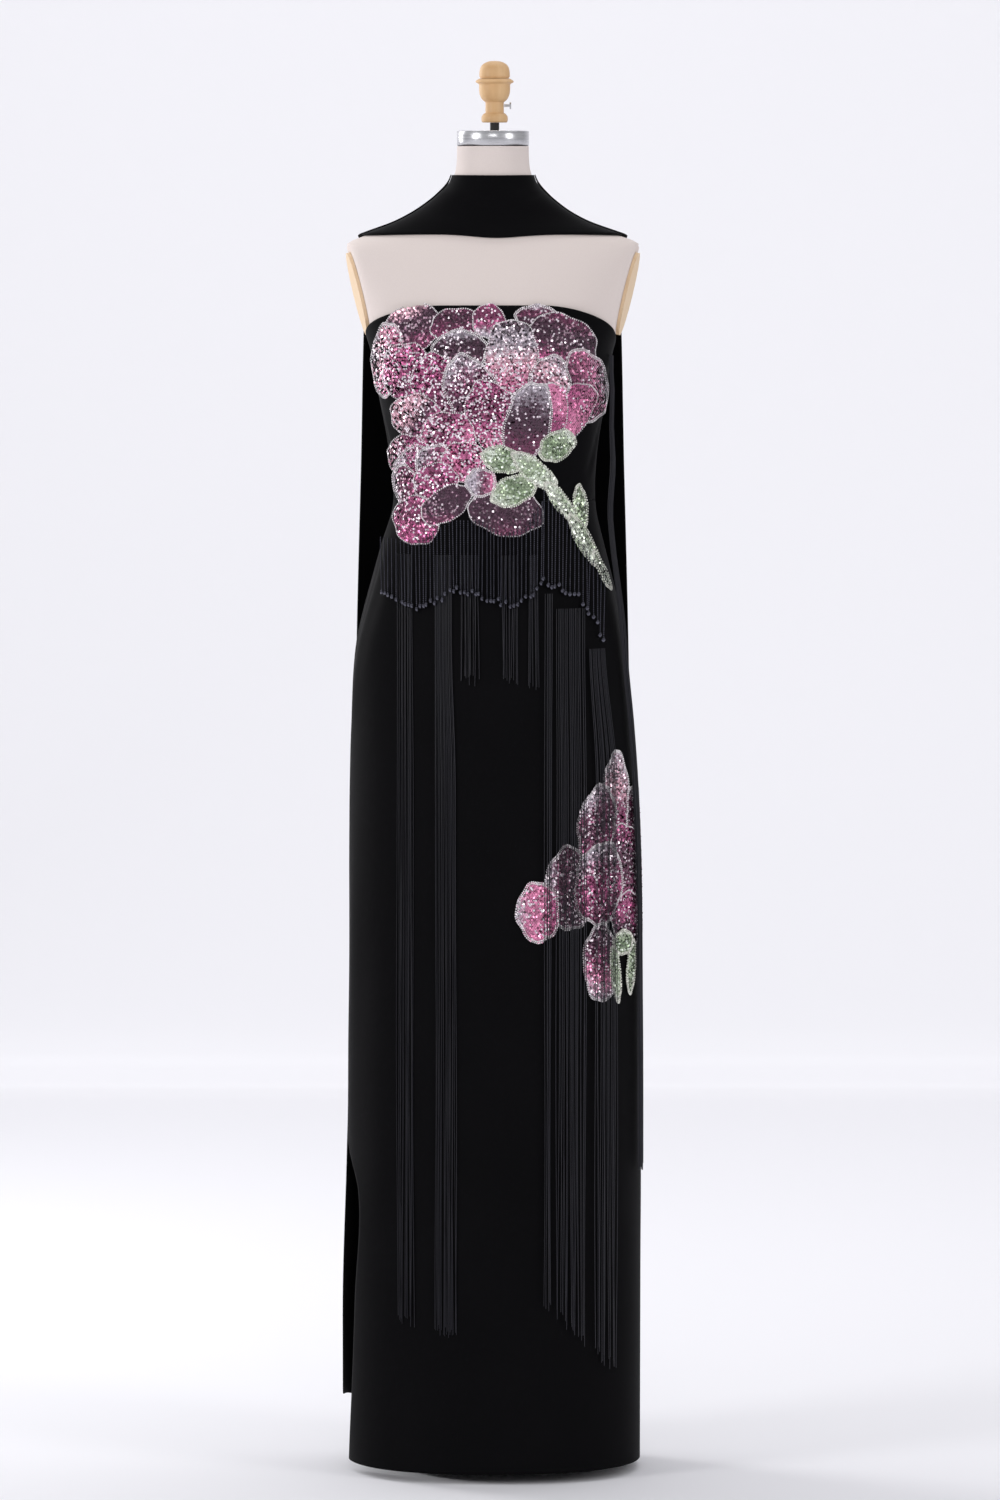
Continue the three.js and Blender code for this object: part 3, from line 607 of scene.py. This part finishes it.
def outlinePoint(petal, angle, grow):
    px, pz, wide, tall, tilt = petal[:5]
    edge = wavyEdge(petal, angle)
    across, up = (wide * edge + grow) * math.cos(angle), (tall * edge + grow) * math.sin(angle)
    turn = math.radians(tilt)
    return (px + across * math.cos(turn) - up * math.sin(turn),
            pz + across * math.sin(turn) + up * math.cos(turn))


def topPetal(petals, x, z):
    for petal in reversed(petals):
        share, depth = petalShare(petal, x, z)
        if share < 1:
            return petal, share, depth
    return None


# The ring angle whose point lies so far across the side-front view.
def sideAngle(across, z):
    low, high = 262.0, 400.0  # the search runs from the front to past the side
    for _ in range(18):
        middle = (low + high) / 2
        point = ringPoint(body, middle, z)
        if (point.x + point.y) * 0.7071 < across:
            low = middle
        else:
            high = middle
    return (low + high) / 2


# Many small flat or round pieces gathered in one mesh.
class Scatter:
    def __init__(self):
        self.points, self.faces, self.tints = [], [], []

    def disc(self, centre, normal, radius, tint, sides=6):
        side = normal.orthogonal().normalized()
        other = normal.cross(side)
        start = len(self.points)
        for k in range(sides):
            a = 2 * math.pi * k / sides
            self.points.append(centre + (side * math.cos(a) + other * math.sin(a)) * radius)
            self.tints.append(tint)
        self.faces.append(tuple(range(start, start + sides)))

    def bead(self, centre, radius, tint, tall=1.0, sides=5):
        start = len(self.points)
        rings = ((0.62, 0.78), (1.0, 0.0), (0.62, -0.78))
        self.points.append(centre + Vector((0, 0, radius * tall)))
        for wide, up in rings:
            for k in range(sides):
                a = 2 * math.pi * k / sides + up
                spoke = Vector((math.cos(a) * wide, math.sin(a) * wide, up * tall))
                self.points.append(centre + spoke * radius)
        self.points.append(centre - Vector((0, 0, radius * tall)))
        self.tints.extend([tint] * (sides * 3 + 2))
        for k in range(sides):
            n = (k + 1) % sides
            self.faces.append((start, start + 1 + k, start + 1 + n))
            for ring in (0, 1):
                a = start + 1 + ring * sides
                self.faces.append((a + k, a + sides + k, a + sides + n, a + n))
            last = start + 1 + 2 * sides
            self.faces.append((last + k, last + sides, last + n))


sequinWork = {
    "pitch": 2.35, "row": 1.9, "radius": 1.5, "off": 4.2,
    "bead": 1.05, "beadPitch": 2.2, "beadOff": 4.6,
    # Near-white tints put on glinting sequins: painted highlights.
    "paintedGlintPink": (1, 0.86, 0.94), "paintedGlintGreen": (0.9, 1, 0.85),
}


def sewFlower(name, petals, hidden, angleOf, node, green=False):
    discs, beads = Scatter(), Scatter()
    lowX, highX = min(p[0] - 60 for p in petals), max(p[0] + 60 for p in petals)
    lowZ, highZ = min(p[1] - 62 for p in petals), max(p[1] + 62 for p in petals)
    pitch, row = sequinWork["pitch"], sequinWork["row"]
    for j in range(int((highZ - lowZ) / row)):
        for i in range(int((highX - lowX) / pitch)):
            x = lowX + (i + 0.5 * (j % 2)) * pitch + random.uniform(-0.25, 0.25)
            z = lowZ + j * row + random.uniform(-0.2, 0.2)
            found = topPetal(petals, x, z)
            if found is None or topPetal(hidden, x, z) or z > neckline(angleOf(x, z) % 360) + 1:
                continue
            petal, share, depth = found
            bands, paintedGlintAndTilt = petal[6], petal[7]
            place = clamp(depth * 3.4 + random.uniform(-0.35, 0.35), 0, 2.999)
            tint = Vector(bands[int(place)]).lerp(Vector(bands[int(place) + 1]), place % 1)
            tint = tint * random.uniform(0.65, 1.35)
            # A share of the sequins gets a near-white tint in place of its band colour: a painted highlight
            # for glints.
            if random.random() < paintedGlintAndTilt:
                tint = Vector(sequinWork["paintedGlintGreen"] if green else sequinWork["paintedGlintPink"])
            degrees = angleOf(x, z)
            normal = outward(body, degrees, z)
            tilt = 0.16 + paintedGlintAndTilt * 0.9
            normal = (normal + Vector([random.gauss(0, tilt) for _ in range(3)])).normalized()
            rise = sequinWork["off"] + 0.25 * (j % 2) + random.uniform(0, 0.3)
            discs.disc(offPoint(body, degrees, z, rise), normal, sequinWork["radius"], tuple(tint))
    for order, petal in enumerate(petals):
        around = math.pi * (petal[2] + petal[3])
        beadLines = (0.0, -2.0) if petal[6][0] == silver or green else (0.0,)
        for line, grow in enumerate(beadLines):
            count = int(around / sequinWork["beadPitch"])
            for k in range(count):
                angle = 2 * math.pi * (k + 0.5 * line) / count
                x, z = outlinePoint(petal, angle, grow)
                if topPetal(petals[order + 1:], x, z) or topPetal(hidden, x, z):
                    continue
                degrees = angleOf(x, z)
                if z > neckline(degrees % 360) + 3:
                    continue
                shade = random.uniform(0.5, 1.0)
                tint = (shade, shade * (1.0 if green else 0.95), shade * (0.9 if green else 0.97))
                place = offPoint(body, degrees, z, sequinWork["beadOff"])
                beads.bead(place, sequinWork["bead"], tint)
    addMesh(name + "_sequins", discs.points, discs.faces, sequin, [node], True, discs.tints)
    addMesh(name + "_beads", beads.points, beads.faces, glassBead, [node], False, beads.tints)


sewFlower("bodice_flower", bodicePetals, bodiceLeaves, frontAngle, "flower_bodice")
sewFlower("bodice_leaves", bodiceLeaves, [], frontAngle, "leaves_bodice", True)
sewFlower("skirt_flower", skirtPetals, skirtLeaves, sideAngle, "flower_skirt")
sewFlower("skirt_leaves", skirtLeaves, [], sideAngle, "leaves_skirt", True)
print("sequin work made")


def between(rows, x):
    for a, b in zip(rows, rows[1:]):
        if x <= b[0]:
            t = clamp((x - a[0]) / (b[0] - a[0]))
            return lerp(a[1], b[1], t), lerp(a[2], b[2], t)
    return rows[-1][1:]


beadWork = {
    "off": 6.6, "radius": 1.0, "step": 2.5, "endRadius": 2.6, "endOff": 6.4, "gap": (3.7, 5.0),
    "jet": (0.02, 0.02, 0.025), "shades": (0.5, 0.6, 1.2),
}
# Each row: x, the top and the bottom of the strand there.
flowerBeads = [(-128, 1112, 1054), (-112, 1112, 1042), (-92, 1106, 1034), (-66, 1124, 1042),
               (-45, 1136, 1060), (-16, 1136, 1052), (12, 1120, 1040), (36, 1126, 1044), (57, 1160, 1062)]
stemBeads = [(58.5, 1172, 1068), (78, 1146, 1058), (96, 1114, 1050), (114, 1086, 1026), (130, 1056, 990)]


def beadFringe(name, rows, node):
    strands = Scatter()
    x = rows[0][0]
    while x < rows[-1][0]:
        top, bottom = between(rows, x)
        bottom += random.uniform(-4, 4)
        sway = random.uniform(-1.2, 1.2)
        z = top
        while z > bottom:
            along = (top - z) / (top - bottom)
            place = offPoint(body, frontAngle(x + sway * along, z), z, beadWork["off"])
            shade = random.choice(beadWork["shades"])
            tint = tuple(part * shade for part in beadWork["jet"])
            strands.bead(place, beadWork["radius"], tint, 1.25, 4)
            z -= beadWork["step"]
        end = offPoint(body, frontAngle(x + sway, bottom - 2), bottom - 2, beadWork["endOff"])
        strands.bead(end, beadWork["endRadius"], beadWork["jet"], 1.2, 5)
        x += random.uniform(*beadWork["gap"])
    addMesh(name, strands.points, strands.faces, jetMaterial, [node], True)


beadFringe("flower_bead_strands", flowerBeads, "bead_fringe_flower")
beadFringe("stem_bead_strands", stemBeads, "bead_fringe_stem")

threadRadius = 0.5
# Each hank: top, its edges there, its edges lower down, its bottom at both edges, how far it
# stands off the body line, and its strands.
hanks = {
    "a": (1096, (-112, -94), (-112, -93), (190, 183), 4.2, 16),
    "b": (1096, (-68, -48), (-68, -43), (176, 172), 4.2, 20),
    "c": (1096, (-38, -18), (-38, -19), (950, 946), 4.2, 13),
    "d": (1096, (9, 29), (9, 29), (952, 948), 4.2, 13),
    "e": (1096, (41, 53), (41, 52), (944, 940), 4.2, 8),
    "f": (1050, (60, 69), (60, 68), (208, 202), 7.0, 6),
    "g": (1032, (73, 106), (74, 108), (196, 158), 7.0, 22),
    "h": (984, (110, 128), (118, 143), (148, 120), 7.0, 16),
}


def addStrand(points, faces, path, radius):
    start = len(points)
    for place in path:
        for k in range(3):
            a = 2.094 * k  # a third of a turn
            points.append(place + Vector((math.cos(a) * radius, math.sin(a) * radius, 0)))
    for j in range(len(path) - 1):
        for k in range(3):
            a, b = start + 3 * j + k, start + 3 * j + (k + 1) % 3
            faces.append((a, b, b + 3, a + 3))


for key, (top, upper, lower, bottoms, off, count) in hanks.items():
    points, faces = [], []
    for k in range(count):
        share = clamp((k + random.uniform(0.1, 0.9)) / count)
        end = lerp(bottoms[0], bottoms[1], share) + random.uniform(-6, 8)
        drift, phase = random.uniform(-1.5, 1.5), random.uniform(0, 6.3)
        steps = 14 if top - end < 300 else 44
        path = []
        for j in range(steps + 1):
            z = lerp(top, end, j / steps)
            spread = smooth((1000 - z) / 180)
            x = lerp(lerp(*upper, share), lerp(*lower, share), spread)
            x += (drift + 1.3 * math.sin(z / 130 + phase)) * j / steps
            path.append(offPoint(body, frontAngle(x, z), z, off + 0.5 * math.sin(k * 2.4)))
        addStrand(points, faces, path, threadRadius)
    addMesh(f"threads_{key}", points, faces, threadMaterial, [f"thread_fringe_{key}"])


sideHank = {"strands": 34, "edges": (342.5, 347), "top": 1333, "bottom": 356, "steps": 48}
# How far the side hank hangs off the body line at each height.
sideLine = [(356, 6.6), (900, 6.6), (975, 7), (1080, 15), (1190, 27), (1270, 14), (1333, 3.3)]
points, faces = [], []
for k in range(sideHank["strands"]):
    turn = lerp(*sideHank["edges"], (k + random.random()) / sideHank["strands"])
    end = sideHank["bottom"] + random.uniform(0, 26)
    phase = random.uniform(0, 6.3)
    path = []
    for j in range(sideHank["steps"] + 1):
        z = lerp(sideHank["top"], end, j / sideHank["steps"])
        off = rowAt(sideLine, z)[0] + 2 + 1.5 * math.sin(k * 1.7)
        path.append(offPoint(body, turn + 0.35 * math.sin(z / 140 + phase), z, off))
    addStrand(points, faces, path, threadRadius)
addMesh("threads_side", points, faces, threadMaterial, ["thread_fringe_side"])
print("fringe made")


studio = {
    "lens": 174.5, "place": (0.0084, -8.7, 1.497), "pitch": 4.2, "farClip": 60,
    "wallColour": (0.86, 0.855, 0.885, 1), "worldColour": (0.93, 0.93, 0.97, 1), "world": 0.5,
    "half": 9,  # half the backdrop's width
    "sweep": [(-6.0, 0.0), (2.4, 0.0), (3.6, 0.12), (4.6, 0.6), (5.3, 1.5), (5.6, 3.0), (5.6, 8.0)],
}
camera = bpy.data.objects.new("camera", bpy.data.cameras.new("camera"))
bpy.context.collection.objects.link(camera)
camera.data.lens = studio["lens"]
camera.data.clip_end = studio["farClip"]
camera.location = studio["place"]
camera.rotation_euler = (math.radians(90 - studio["pitch"]), 0, 0)
bpy.context.scene.camera = camera

backdrop = Tree("backdrop")
backdrop.set(Base_Color=studio["wallColour"], Roughness=0.9)
sweep = rounded(studio["sweep"], 8)
sides = (-studio["half"], studio["half"])
mesh = bpy.data.meshes.new("backdrop")
mesh.from_pydata([(x, y, z) for y, z in sweep for x in sides], [],
                 [(2 * k, 2 * k + 1, 2 * k + 3, 2 * k + 2) for k in range(len(sweep) - 1)])
mesh.materials.append(backdrop.material)
mesh.shade_smooth()
floor = bpy.data.objects.new("backdrop", mesh)
bpy.context.collection.objects.link(floor)


def softbox(name, place, aim, width, height, power):
    light = bpy.data.lights.new(name, "AREA")
    light.shape, light.size, light.size_y = "RECTANGLE", width, height
    light.energy = power
    lamp = bpy.data.objects.new(name, light)
    bpy.context.collection.objects.link(lamp)
    lamp.location = place
    lamp.rotation_euler = (Vector(aim) - Vector(place)).to_track_quat("-Z", "Y").to_euler()


softbox("key_left", (-3.6, -2.4, 2.2), (0, 0, 1.0), 1.2, 2.6, 62)
softbox("key_right", (3.6, -2.6, 2.2), (0, 0, 1.0), 1.2, 2.6, 44)
softbox("front_fill", (0.0, -7.5, 3.6), (0, 0, 1.1), 2.4, 1.6, 45)
softbox("edge_left", (-2.2, 1.6, 1.8), (0, 0, 0.9), 0.7, 2.4, 30)
softbox("background", (0.0, 1.0, 5.4), (0, 5.6, 1.6), 6.0, 2.0, 150)
world = bpy.data.worlds.new("studio")
world.use_nodes = True
world.node_tree.nodes["Background"].inputs[0].default_value = studio["worldColour"]
world.node_tree.nodes["Background"].inputs[1].default_value = studio["world"]
bpy.context.scene.world = world
bpy.context.scene.view_settings.view_transform = "Standard"
print("stage made")
